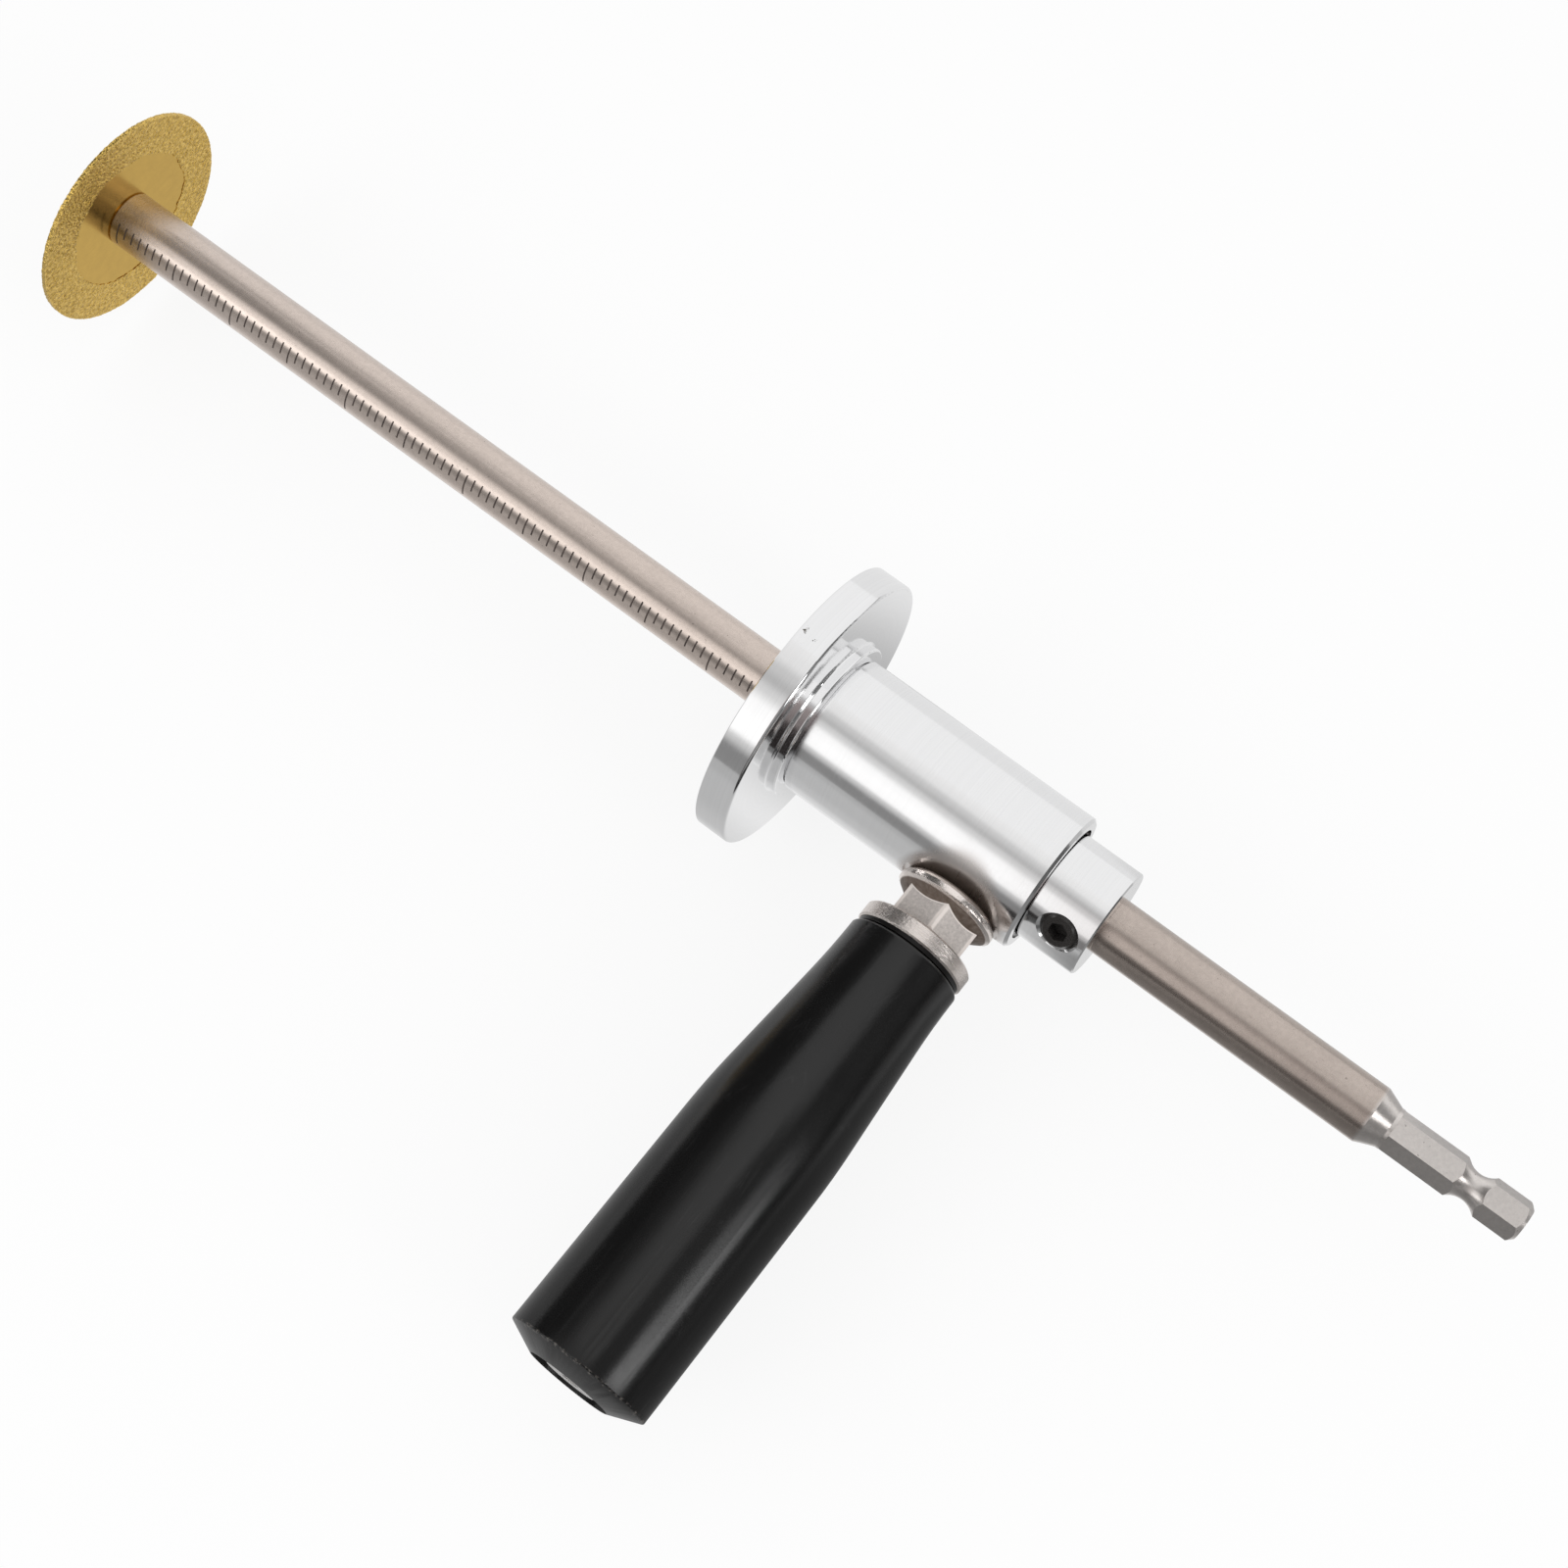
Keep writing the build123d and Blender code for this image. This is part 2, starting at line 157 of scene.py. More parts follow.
class ScaleMarks(bpy.types.PropertyGroup):
    """Graduations on the shaft."""

    first: bpy.props.FloatProperty(
        name="First mark", description="Station of the mark nearest the disc",
        default=-142.34 * MM, unit="LENGTH",
    )
    pitch: bpy.props.FloatProperty(
        name="Pitch", description="Distance between two marks",
        default=1.6078 * MM, unit="LENGTH", precision=5,
    )
    count: bpy.props.IntProperty(name="Marks", description="Number of marks", default=89, min=1)
    width: bpy.props.FloatProperty(
        name="Line width", description="Width of one mark", default=0.28 * MM, unit="LENGTH", precision=5
    )
    start_angle: bpy.props.FloatProperty(
        name="Start", description="Where every mark starts, about the shaft", default=math.radians(128),
        subtype="ANGLE", unit="ROTATION",
    )
    short_angle: bpy.props.FloatProperty(
        name="Short mark", description="Where a short mark ends", default=math.radians(154),
        subtype="ANGLE", unit="ROTATION",
    )
    medium_angle: bpy.props.FloatProperty(
        name="Medium mark", description="Where every eighth mark ends", default=math.radians(167),
        subtype="ANGLE", unit="ROTATION",
    )
    long_angle: bpy.props.FloatProperty(
        name="Long mark", description="Where every sixteenth mark ends", default=math.radians(178.5),
        subtype="ANGLE", unit="ROTATION",
    )
    colour: bpy.props.FloatVectorProperty(
        name="Colour", description="Colour of the marks",
        default=(0.035, 0.024, 0.02), size=3, subtype="COLOR",
    )


class GritCoat(bpy.types.PropertyGroup):
    """Brazed grit on the disc."""

    inner_radius: bpy.props.FloatProperty(
        name="Smooth centre", description="Radius where the grit begins", default=13.1 * MM, unit="LENGTH"
    )
    relief: bpy.props.FloatProperty(
        name="Relief", description="Height of the grains", default=0.13 * MM, unit="LENGTH", precision=5
    )
    grain: bpy.props.FloatProperty(
        name="Grain", description="Size of one grain", default=0.6 * MM, unit="LENGTH", precision=5
    )
    colour: bpy.props.FloatVectorProperty(
        name="Colour", description="Colour of the braze",
        default=(0.78, 0.5, 0.1), size=3, subtype="COLOR",
    )
    grain_colour: bpy.props.FloatVectorProperty(
        name="Grain colour", description="Colour of the grains that stand out",
        default=(1.0, 0.72, 0.23), size=3, subtype="COLOR",
    )


class MetalColours(bpy.types.PropertyGroup):
    """Colours of the metal parts."""

    aluminium: bpy.props.FloatVectorProperty(
        name="Aluminium", description="Flange, sleeve and collar",
        default=(0.9, 0.9, 0.905), size=3, subtype="COLOR",
    )
    shaft: bpy.props.FloatVectorProperty(
        name="Shaft steel", description="Graduated shaft",
        default=(0.71, 0.613, 0.552), size=3, subtype="COLOR",
    )
    drive: bpy.props.FloatVectorProperty(
        name="Drive end", description="Taper and hex shank",
        default=(0.78, 0.735, 0.705), size=3, subtype="COLOR",
    )
    nickel: bpy.props.FloatVectorProperty(
        name="Nickel plate", description="Nut and spindle",
        default=(0.7, 0.645, 0.61), size=3, subtype="COLOR",
    )
    bright_steel: bpy.props.FloatVectorProperty(
        name="Bright steel", description="Screws and washers",
        default=(0.72, 0.71, 0.7), size=3, subtype="COLOR",
    )
    black_steel: bpy.props.FloatVectorProperty(
        name="Black steel", description="Set screw, thrust washer and retaining ring",
        default=(0.02, 0.018, 0.017), size=3, subtype="COLOR",
    )
    brass: bpy.props.FloatVectorProperty(
        name="Brass", description="Ball cages",
        default=(0.78, 0.56, 0.25), size=3, subtype="COLOR",
    )
    gold: bpy.props.FloatVectorProperty(
        name="Disc gold", description="Smooth centre of the disc",
        default=(0.59, 0.375, 0.08), size=3, subtype="COLOR",
    )


class GripPlastic(bpy.types.PropertyGroup):
    """Moulded plastic of the grip."""

    colour: bpy.props.FloatVectorProperty(
        name="Colour", description="Colour of the plastic",
        default=(0.003, 0.0029, 0.0029), size=3, subtype="COLOR",
    )
    roughness: bpy.props.FloatProperty(
        name="Roughness", description="Sheen of the plastic", default=0.23, min=0.0, max=1.0, subtype="FACTOR"
    )


class Studio(bpy.types.PropertyGroup):
    """Camera, floor and lamps."""

    lens: bpy.props.FloatProperty(
        name="Lens", description="Focal length on a 36 mm sensor", default=65.34, unit="CAMERA"
    )
    floor_colour: bpy.props.FloatVectorProperty(
        name="Floor", description="Colour of the floor",
        default=(0.86, 0.86, 0.86), size=3, subtype="COLOR",
    )
    daylight: bpy.props.FloatProperty(
        name="Daylight", description="Strength of the even light all round", default=0.92, min=0.0
    )
    top_lamp: bpy.props.FloatProperty(
        name="Top lamp", description="Power of the softbox above the handle side", default=1.5, unit="POWER"
    )
    side_lamp: bpy.props.FloatProperty(
        name="Side lamp", description="Power of the softbox at the drive end", default=1.7, unit="POWER"
    )


def node(tree, kind, sockets=None, **settings):
    """New shader node. A socket gets either a value or the output that feeds it."""
    made = tree.nodes.new(kind)
    for name, value in settings.items():
        setattr(made, name, value)
    for name, value in (sockets or {}).items():
        if isinstance(value, bpy.types.NodeSocket):
            tree.links.new(value, made.inputs[name])
        else:
            made.inputs[name].default_value = value
    return made


def maths(tree, operation, first, second=0.5):
    """Result of one maths step."""
    return node(tree, "ShaderNodeMath", {0: first, 1: second}, operation=operation).outputs["Value"]


def rgba(colour, share=1.0):
    """Colour with its alpha, made lighter or darker by a share."""
    return (colour[0] * share, colour[1] * share, colour[2] * share, 1.0)


def millimetres(tree):
    """Place on the object, in millimetres."""
    place = node(tree, "ShaderNodeTexCoord").outputs["Object"]
    return node(tree, "ShaderNodeMapping", {"Vector": place, "Scale": (1 / MM,) * 3}).outputs["Vector"]


def turned_place(tree, on_handle):
    """Station along the axis a piece was turned about and distance from it, in millimetres."""
    place = node(tree, "ShaderNodeTexCoord").outputs["Object"]
    sockets = {"Vector": place, "Scale": (1 / MM,) * 3}
    if on_handle:
        sockets["Rotation"] = (0, 0, math.pi / 2)
        sockets["Location"] = (0, -HANDLE_PLACE / MM, 0)
    turned = node(tree, "ShaderNodeMapping", sockets).outputs["Vector"]
    station = node(tree, "ShaderNodeSeparateXYZ", {"Vector": turned}).outputs["X"]
    across = node(tree, "ShaderNodeVectorMath", {0: turned, 1: (0, 1, 1)}, operation="MULTIPLY")
    radius = node(tree, "ShaderNodeVectorMath", {0: across.outputs["Vector"]}, operation="LENGTH")
    return node(
        tree, "ShaderNodeCombineXYZ", {"X": station, "Y": radius.outputs["Value"], "Z": 0.0}
    ).outputs["Vector"]


def distance_from_shaft(tree):
    """Distance from the shaft's axis, in millimetres."""
    return node(tree, "ShaderNodeSeparateXYZ", {"Vector": turned_place(tree, False)}).outputs["Y"]


def grain(tree, place, scale, detail=3.0, roughness=0.6):
    """Noise between 0 and 1 on a place, its scale per millimetre."""
    sockets = {"Vector": place, "Scale": scale, "Detail": detail, "Roughness": roughness}
    return node(tree, "ShaderNodeTexNoise", sockets).outputs["Fac"]


def between(tree, value, low, high):
    """Value moved from 0.3..0.7, where most of a noise lies, to low..high."""
    sockets = {"Value": value, "From Min": 0.3, "From Max": 0.7, "To Min": low, "To Max": high}
    return node(tree, "ShaderNodeMapRange", sockets).outputs["Result"]


def blend_colours(tree, share, first, second):
    """Colour between two colours."""
    mix = node(tree, "ShaderNodeMix", {"Factor": share}, data_type="RGBA")
    for socket, colour in ((mix.inputs[6], first), (mix.inputs[7], second)):
        if isinstance(colour, bpy.types.NodeSocket):
            tree.links.new(colour, socket)
        else:
            socket.default_value = colour
    return mix.outputs[2]


def blend_levels(tree, share, first, second):
    """Level between two levels."""
    return node(tree, "ShaderNodeMix", {"Factor": share, "A": first, "B": second}).outputs["Result"]


def dimmed(tree, level, where, part):
    """Level with a part of it taken away, none of the part where it is 0 and all of it where it is 1."""
    kept = maths(tree, "SUBTRACT", 1.0, maths(tree, "MULTIPLY", where, part))
    return maths(tree, "MULTIPLY", level, kept)


def glow(tree, tint, level):
    """Light of a tint and a level, which doesn't depend on the lamps."""
    return node(tree, "ShaderNodeEmission", {"Color": tint, "Strength": level}).outputs["Emission"]


def relief(tree, height, depth, under=None):
    """Normal of a relief of the given depth in metres, over another one if given."""
    sockets = {"Height": height, "Distance": depth, "Strength": 1.0}
    if under is not None:
        sockets["Normal"] = under
    return node(tree, "ShaderNodeBump", sockets).outputs["Normal"]


def scratches(tree, place, scale, turn, width=0.035):
    """Thin straight scratches, 1 on a scratch and 0 beside it."""
    stretched = node(
        tree, "ShaderNodeMapping", {"Vector": place, "Rotation": turn, "Scale": (scale, scale * 0.06, scale)}
    ).outputs["Vector"]
    cells = node(
        tree, "ShaderNodeTexVoronoi", {"Vector": stretched, "Scale": 1.0}, feature="DISTANCE_TO_EDGE"
    ).outputs["Distance"]
    line = node(
        tree, "ShaderNodeMapRange",
        {"Value": cells, "From Min": 0.0, "From Max": width, "To Min": 1.0, "To Max": 0.0},
    ).outputs["Result"]
    patches = between(tree, grain(tree, place, 0.35), -0.6, 1.0)
    return maths(tree, "MULTIPLY", line, node(tree, "ShaderNodeClamp", {"Value": patches}).outputs["Result"])


def soft_step(tree, value, low, high):
    """Smooth rise from 0 at low to 1 at high, or a fall where low is the larger one."""
    sockets = {"Value": value, "From Min": low, "From Max": high, "To Min": 0.0, "To Max": 1.0}
    return node(tree, "ShaderNodeMapRange", sockets, interpolation_type="SMOOTHSTEP").outputs["Result"]


def distance_from(tree, place, point):
    """Distance of a place from a point, in millimetres."""
    return node(tree, "ShaderNodeVectorMath", {0: place, 1: point}, operation="DISTANCE").outputs["Value"]


def new_material(name):
    """Empty material with its tree and its shader."""
    material = bpy.data.materials.new(name)
    material.use_nodes = True
    tree = material.node_tree
    return material, tree, tree.nodes["Principled BSDF"]


def turned_metal(name, colour, roughness, line_depth=2e-6, line_scale=4.0, scratch_depth=2e-6,
                 grain_depth=0.0, on_handle=False, shade=None):
    """Metal with lathe lines about its axis, faint scratches and slightly uneven gloss.

    Depths are in metres and the scale of the lines is per millimetre. A shade changes tint and gloss.
    """
    material, tree, shader = new_material(name)
    shader.inputs["Metallic"].default_value = 1.0
    lines = grain(tree, turned_place(tree, on_handle), line_scale, 4.0, 0.75)
    place = millimetres(tree)
    clouds = grain(tree, place, 0.12, 3.0)
    marks = maths(
        tree, "MAXIMUM",
        scratches(tree, place, 0.9, (0.3, 0.5, 0.9)),
        scratches(tree, place, 1.3, (0.9, 0.2, 2.3)),
    )
    tint = blend_colours(tree, between(tree, lines, 0.0, 1.0), rgba(colour, 0.975), rgba(colour, 1.02))
    gloss = maths(tree, "ADD", between(tree, lines, roughness * 0.85, roughness * 1.15),
                  between(tree, clouds, -0.02, 0.03))
    gloss = maths(tree, "ADD", gloss, maths(tree, "MULTIPLY", marks, 0.08))
    if shade is not None:
        tint, gloss = shade(tree, place, tint, gloss)
    tree.links.new(tint, shader.inputs["Base Color"])
    tree.links.new(gloss, shader.inputs["Roughness"])
    normal = relief(tree, lines, line_depth)
    if grain_depth:
        normal = relief(tree, grain(tree, place, 2.2, 3.0), grain_depth, normal)
    normal = relief(tree, marks, -scratch_depth, normal)
    tree.links.new(normal, shader.inputs["Normal"])
    return material


def knocked_rim(tree, place, tint, gloss):
    """Small dark nicks in the rim of the flange, shaken out of round."""
    shake = 1.3
    wobble = node(tree, "ShaderNodeTexNoise", {"Vector": place, "Scale": 2.2, "Detail": 2.0}).outputs["Color"]
    shaken = node(
        tree, "ShaderNodeVectorMath", {0: wobble, 1: (shake,) * 3, 2: place}, operation="MULTIPLY_ADD"
    ).outputs["Vector"]
    for station, degrees, size in RIM_NICKS:
        point = around_shaft(station, FLANGE_RADIUS, math.radians(degrees)) + Vector((shake / 2,) * 3)
        nick = soft_step(tree, distance_from(tree, shaken, point), size, size * 0.4)
        tint = blend_colours(tree, nick, tint, (0.09, 0.075, 0.06, 1))
    return tint, gloss


def seat_shadow(tree, place, tint, gloss):
    """Painted brown shade and reflection of the flange nut on the sleeve round its seat, where the sleeve is
    also duller.
    """
    apart = node(tree, "ShaderNodeSeparateXYZ", {"Vector": place}).outputs
    flat = node(tree, "ShaderNodeCombineXYZ", {"X": apart["X"], "Y": 0.0, "Z": apart["Z"]}).outputs["Vector"]
    near = soft_step(tree, distance_from(tree, flat, (HANDLE_PLACE / MM, 0, 0)), *SEAT_RING)
    share = maths(tree, "MULTIPLY", near, soft_step(tree, apart["Y"], *SEAT_SIDE))
    # Painted shade and reflection of the nut, on the handle's side of the seat only
    tint = blend_colours(tree, maths(tree, "MULTIPLY", share, 0.55), tint, (0.45, 0.39, 0.35, 1))
    return tint, maths(tree, "ADD", gloss, maths(tree, "MULTIPLY", share, 0.16))


def shaft_steel(colour, drive_colour):
    """Steel ground round the shaft, darker behind the lock collar, paler and duller at the drive end."""
    material, tree, shader = new_material("shaft_steel")
    shader.inputs["Metallic"].default_value = 1.0
    place = millimetres(tree)
    station = node(tree, "ShaderNodeSeparateXYZ", {"Vector": place}).outputs["X"]
    lines = grain(tree, turned_place(tree, False), 3.6, 4.0, 0.75)
    specks = grain(tree, place, 3.2, 4.0, 0.7)
    clouds = grain(tree, place, 0.14, 3.0)
    marks = scratches(tree, place, 0.9, (0.3, 0.5, 0.9))
    drive = soft_step(tree, station, *DRIVE_CHANGE)
    tail = soft_step(tree, station, *TAIL_CHANGE)
    tint = blend_colours(tree, between(tree, lines, 0.0, 1.0), rgba(colour, 0.96), rgba(colour, 1.03))
    darker = blend_colours(tree, between(tree, clouds, 0.0, 1.0), rgba(colour, 0.76), rgba(colour, 0.84))
    tint = blend_colours(tree, tail, tint, darker)
    tint = blend_colours(tree, drive, tint, rgba(drive_colour))
    mottle = between(tree, grain(tree, place, 1.3, 4.0, 0.75), 0.9, 1.06)
    tint = node(tree, "ShaderNodeVectorMath", {0: tint, "Scale": mottle}, operation="SCALE").outputs["Vector"]
    dirt = soft_step(tree, grain(tree, place, 1.9, 2.0, 0.5), 0.71, 0.75)
    tint = blend_colours(tree, maths(tree, "MULTIPLY", dirt, 0.55), tint, rgba(colour, 0.3))
    tree.links.new(tint, shader.inputs["Base Color"])
    gloss = maths(tree, "ADD", between(tree, lines, 0.24, 0.29), between(tree, clouds, -0.02, 0.03))
    gloss = maths(tree, "ADD", gloss, maths(tree, "MULTIPLY", drive, 0.06))
    tree.links.new(gloss, shader.inputs["Roughness"])
    shader.inputs["Anisotropic"].default_value = 0.8
    shader.inputs["Anisotropic Rotation"].default_value = 0.25
    around = node(tree, "ShaderNodeTangent", direction_type="RADIAL", axis="X").outputs["Tangent"]
    tree.links.new(around, shader.inputs["Tangent"])
    normal = relief(tree, lines, 1e-6)
    normal = relief(tree, specks, 2e-6, normal)
    normal = relief(tree, maths(tree, "MULTIPLY", specks, drive), 6e-6, normal)
    tree.links.new(relief(tree, marks, -2.5e-6, normal), shader.inputs["Normal"])
    return material


def nut_plate(colour):
    """Dull blasted plate on the nut's flats, worn bright on its rim, with painted highlights and wear on its
    edges and painted brown shade on its slope.
    """
    material, tree, shader = new_material("nut_plate")
    place = millimetres(tree)
    turned = node(tree, "ShaderNodeSeparateXYZ", {"Vector": turned_place(tree, True)}).outputs
    out, radius = turned["X"], turned["Y"]
    rim = soft_step(tree, radius, 8.2, 8.5)
    slope_height = maths(tree, "MULTIPLY", maths(tree, "SUBTRACT", NUT_RADIUS, radius), NUT_SLOPE)
    above = maths(tree, "SUBTRACT", out, maths(tree, "ADD", slope_height, NUT_SLOPE_START))
    slope = maths(tree, "MULTIPLY", soft_step(tree, above, 0.08, 0.02), soft_step(tree, radius, 8.6, 8.3))
    # Paler foot and corners of the hexagon: painted highlight on its edges, with some wear
    foot = maths(tree, "MULTIPLY", soft_step(tree, above, 0.02, 0.1), soft_step(tree, above, 0.32, 0.2))
    at_corner = soft_step(tree, radius, NUT_CORNER - 0.36, NUT_CORNER - 0.2)
    corner = maths(tree, "MULTIPLY", at_corner, soft_step(tree, above, 0.0, 0.1))
    worn_and_lit_edge = maths(tree, "MULTIPLY", maths(tree, "MAXIMUM", foot, corner), 0.75)
    specks = grain(tree, place, 1.9, 4.0, 0.75)
    smears = grain(tree, place, 0.9, 4.0)
    tint = blend_colours(tree, between(tree, specks, 0.0, 1.0), rgba(colour, 0.6), rgba(colour, 0.94))
    tint = blend_colours(tree, worn_and_lit_edge, tint, rgba(colour, 1.3))
    # Painted brown shade on the slope between the rim and the hexagon
    painted_slope_shade = blend_colours(tree, between(tree, smears, 0.0, 1.0), (0.1, 0.07, 0.052, 1), (0.2, 0.16, 0.135, 1))
    tint = blend_colours(tree, slope, tint, painted_slope_shade)
    tint = blend_colours(tree, rim, tint, rgba(colour, 1.25))
    tree.links.new(tint, shader.inputs["Base Color"])
    tree.links.new(maths(tree, "ADD", maths(tree, "MULTIPLY", rim, 0.6), 0.4), shader.inputs["Metallic"])
    worn = maths(tree, "MULTIPLY", rim, between(tree, smears, 0.28, 0.4))
    tree.links.new(maths(tree, "SUBTRACT", 0.52, worn), shader.inputs["Roughness"])
    normal = relief(tree, specks, 3e-5)
    tree.links.new(relief(tree, maths(tree, "MULTIPLY", smears, rim), 7e-5, normal), shader.inputs["Normal"])
    return material


def black_oxide(name, colour, shine=0.4):
    """Black finish of the set screw, the thrust washer and the retaining ring."""
    material, tree, shader = new_material(name)
    place = millimetres(tree)
    specks = grain(tree, place, 6.0, 3.0)
    tint = blend_colours(tree, between(tree, specks, 0.0, 1.0), rgba(colour, 0.7), rgba(colour, 1.6))
    tree.links.new(tint, shader.inputs["Base Color"])
    shader.inputs["Specular IOR Level"].default_value = shine
    tree.links.new(between(tree, specks, 0.22, 0.36), shader.inputs["Roughness"])
    tree.links.new(relief(tree, specks, 2e-6), shader.inputs["Normal"])
    return material


def mark_ink(colour):
    """Dark fill of the graduations."""
    material, tree, shader = new_material("mark_ink")
    fading = grain(tree, millimetres(tree), 1.4, 3.0)
    tint = blend_colours(tree, between(tree, fading, 0.0, 1.0), rgba(colour, 0.7), rgba(colour, 2.2))
    tree.links.new(tint, shader.inputs["Base Color"])
    shader.inputs["Roughness"].default_value = 0.6
    return material


def gold_plate(colour):
    """Smooth gold coat of the disc's centre."""
    material, tree, shader = new_material("gold_plate")
    shader.inputs["Metallic"].default_value = 1.0
    place = millimetres(tree)
    mottle = grain(tree, place, 0.5, 4.0)
    fine = grain(tree, place, 4.0, 3.0)
    rolled = node(tree, "ShaderNodeMapping", {"Vector": place, "Scale": (1.0, 0.12, 2.2)}).outputs["Vector"]
    streaks = grain(tree, rolled, 2.4, 3.0)
    tint = blend_colours(tree, between(tree, mottle, 0.0, 1.0), rgba(colour, 0.94), rgba(colour, 1.04))
    tint = blend_colours(tree, between(tree, streaks, 0.0, 0.25), tint, rgba(colour, 0.8))
    tree.links.new(tint, shader.inputs["Base Color"])
    tree.links.new(between(tree, fine, 0.15, 0.22), shader.inputs["Roughness"])
    tree.links.new(relief(tree, fine, 5e-6), shader.inputs["Normal"])
    return material


def grit_braze(coat):
    """Gold braze with bright grains and a painted highlight along its rim."""
    material, tree, shader = new_material("grit_braze")
    shader.inputs["Metallic"].default_value = 1.0
    place = millimetres(tree)
    size = coat.grain / MM
    cells = node(tree, "ShaderNodeTexVoronoi", {"Vector": place, "Scale": 1.3 / size})
    tone = node(tree, "ShaderNodeSeparateColor", {"Color": cells.outputs["Color"]}).outputs["Red"]
    tint = blend_colours(tree, tone, rgba(coat.colour), rgba(coat.grain_colour))
    valleys = between(tree, grain(tree, place, 1.5, 3.0), 0.0, 1.0)
    tint = blend_colours(tree, valleys, rgba(coat.colour, 0.6), tint)
    # Painted highlight: the braze made lighter along the disc's rim
    rim = soft_step(tree, distance_from_shaft(tree), DISC_RADIUS / MM - 0.3, DISC_RADIUS / MM - 0.05)
    tint = blend_colours(tree, maths(tree, "MULTIPLY", rim, 0.35), tint, rgba(coat.grain_colour))
    tree.links.new(tint, shader.inputs["Base Color"])
    tree.links.new(between(tree, tone, 0.2, 0.4), shader.inputs["Roughness"])
    facets = relief(tree, cells.outputs["Distance"], -1.8e-4)
    fine = relief(tree, grain(tree, place, 5.0, 3.0), 4e-5, facets)
    tree.links.new(fine, shader.inputs["Normal"])
    return material


def grip_moulding(plastic):
    """Black moulded plastic with a fine grain and a few light scratches."""
    material, tree, shader = new_material("grip_moulding")
    place = millimetres(tree)
    fine = grain(tree, place, 5.0, 3.0)
    clouds = grain(tree, place, 0.08, 3.0)
    marks = scratches(tree, place, 0.5, (0.4, 1.1, 0.3), 0.02)
    tint = blend_colours(tree, marks, rgba(plastic.colour), rgba(plastic.colour, 4.0))
    turned = node(tree, "ShaderNodeSeparateXYZ", {"Vector": turned_place(tree, True)}).outputs
    from_edge = maths(tree, "ABSOLUTE", maths(tree, "SUBTRACT", turned["X"], GRIP_EDGE))
    edge = soft_step(tree, from_edge, 0.4, 0.1)
    wear = maths(tree, "MULTIPLY", edge, soft_step(tree, grain(tree, place, 1.6, 4.0), 0.48, 0.66))
    tint = blend_colours(tree, wear, tint, (0.08, 0.072, 0.065, 1))
    tree.links.new(tint, shader.inputs["Base Color"])
    gloss = maths(tree, "ADD", between(tree, fine, plastic.roughness - 0.05, plastic.roughness + 0.05),
                  between(tree, clouds, -0.03, 0.03))
    tree.links.new(gloss, shader.inputs["Roughness"])
    normal = relief(tree, fine, 9e-6)
    tree.links.new(relief(tree, marks, -4e-6, normal), shader.inputs["Normal"])
    return material


def ramp(tree, value, stops):
    """Smooth level read from a list of stops, each a place and a level of up to 2."""
    low, high = stops[0][0], stops[-1][0]
    share = node(
        tree, "ShaderNodeMapRange", {"Value": value, "From Min": low, "From Max": high}
    ).outputs["Result"]
    curve = node(tree, "ShaderNodeValToRGB", {"Fac": share})
    curve.color_ramp.interpolation = "EASE"
    elements = curve.color_ramp.elements
    while len(elements) < len(stops):
        elements.new(0.5)
    for element, (place, level) in zip(elements, stops):
        element.position = (place - low) / (high - low)
        element.color = (level / 2, level / 2, level / 2, 1)
    return maths(tree, "MULTIPLY", curve.outputs["Color"], 2.0)


def floor_paper(colour):
    """Pale floor, white to the camera but for its shadow. The metal sees its own levels of it, with a painted
    shadow by the hub.
    """
    material, tree, shader = new_material("floor_paper")
    shader.inputs["Base Color"].default_value = rgba(colour)
    shader.inputs["Roughness"].default_value = 0.9
    shader.inputs["Specular IOR Level"].default_value = 0.0
    path = node(tree, "ShaderNodeLightPath").outputs
    place = node(tree, "ShaderNodeSeparateXYZ", {"Vector": millimetres(tree)}).outputs
    front = ramp(tree, place["Y"], FLOOR_FRONT)
    tail = ramp(tree, place["Y"], FLOOR_TAIL)
    level = blend_levels(tree, soft_step(tree, place["X"], *FLOOR_CHANGE), front, tail)
    flat = node(tree, "ShaderNodeCombineXYZ", {"X": place["X"], "Y": place["Y"], "Z": 0.0}).outputs["Vector"]
    # Painted shadow of the hub and sleeve on the floor, seen only in the metal
    hub_shadow = soft_step(tree, distance_from(tree, flat, HUB_PLACE), *HUB_FADE)
    level = dimmed(tree, level, hub_shadow, HUB_SHADOW_DEPTH)
    along = soft_step(tree, place["X"], *DRIVE_FADE_ALONG)
    across = soft_step(tree, place["Y"], *DRIVE_FADE_ACROSS)
    level = dimmed(tree, level, maths(tree, "MULTIPLY", along, across), DRIVE_DIMMING)
    clear = maths(tree, "MAXIMUM", path["Is Camera Ray"], path["Is Transmission Ray"])
    share = maths(tree, "MULTIPLY", clear, FLOOR_CLEAR)
    sockets = {0: share, 1: shader.outputs["BSDF"], 2: glow(tree, WHITE, 1.0)}
    mix = node(tree, "ShaderNodeMixShader", sockets).outputs["Shader"]
    sockets = {0: path["Is Glossy Ray"], 1: mix, 2: glow(tree, WHITE, level)}
    mix = node(tree, "ShaderNodeMixShader", sockets).outputs["Shader"]
    tree.links.new(mix, tree.nodes["Material Output"].inputs["Surface"])
    return material


